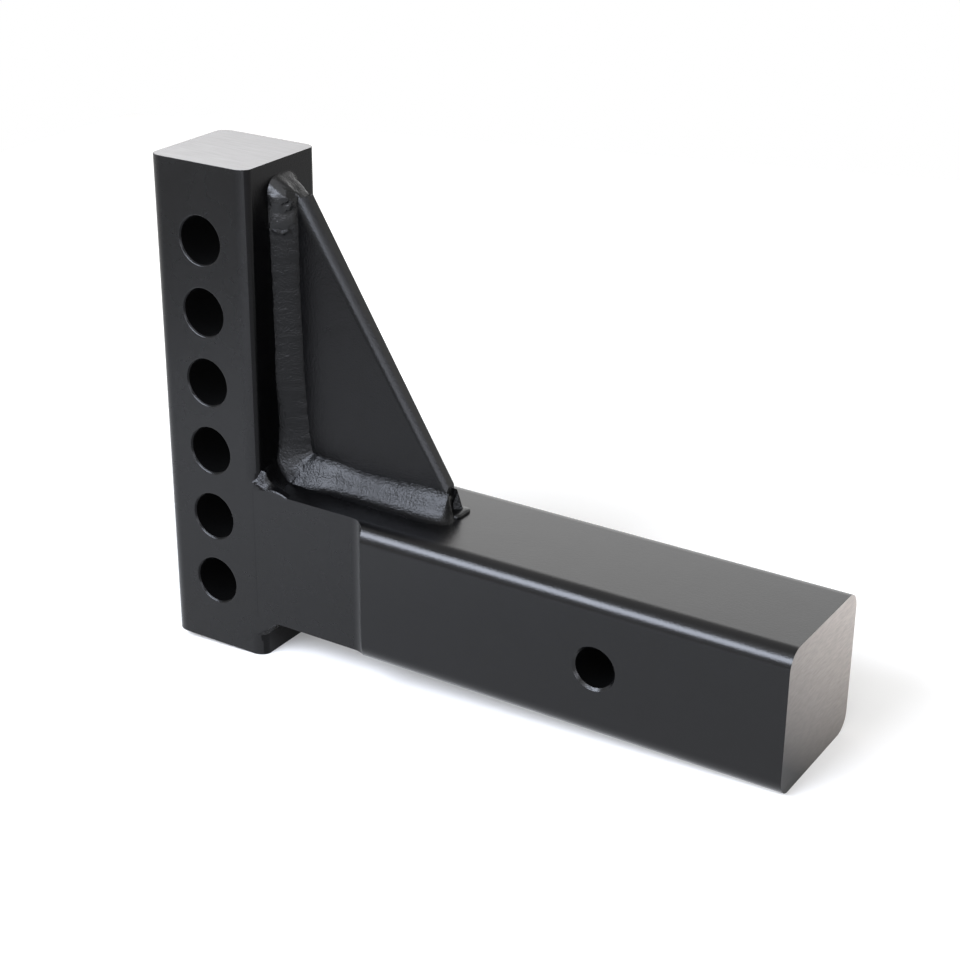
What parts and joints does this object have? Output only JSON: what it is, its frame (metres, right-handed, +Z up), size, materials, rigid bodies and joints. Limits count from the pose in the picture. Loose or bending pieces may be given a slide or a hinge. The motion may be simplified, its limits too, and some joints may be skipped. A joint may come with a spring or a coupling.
{
  "type": "hitch shank",
  "caption": "Solid square receiver shank welded to an upright bar with a row of bolt holes, braced by a gusset plate, for carrying a towing head.",
  "frame": {"origin": "centre of the hitch pin hole, on the receiver bar's centre line", "axes": "+X along the receiver bar to its free end, +Y along the pin hole, +Z up the upright bar"},
  "size_m": [0.3047, 0.0636, 0.224],
  "materials": {
    "black_coat": "satin black powder coat on steel"
  },
  "bodies": {
    "root": {"upright_bar": "black_coat", "receiver_bar": "black_coat", "gusset_plate": "black_coat", "root_weld_top": "black_coat", "root_weld_bottom": "black_coat", "root_weld_near": "black_coat", "root_weld_far": "black_coat", "gusset_weld_near": "black_coat", "gusset_weld_far": "black_coat", "gusset_weld_top": "black_coat", "gusset_weld_toe": "black_coat"}
  },
  "joints": []
}
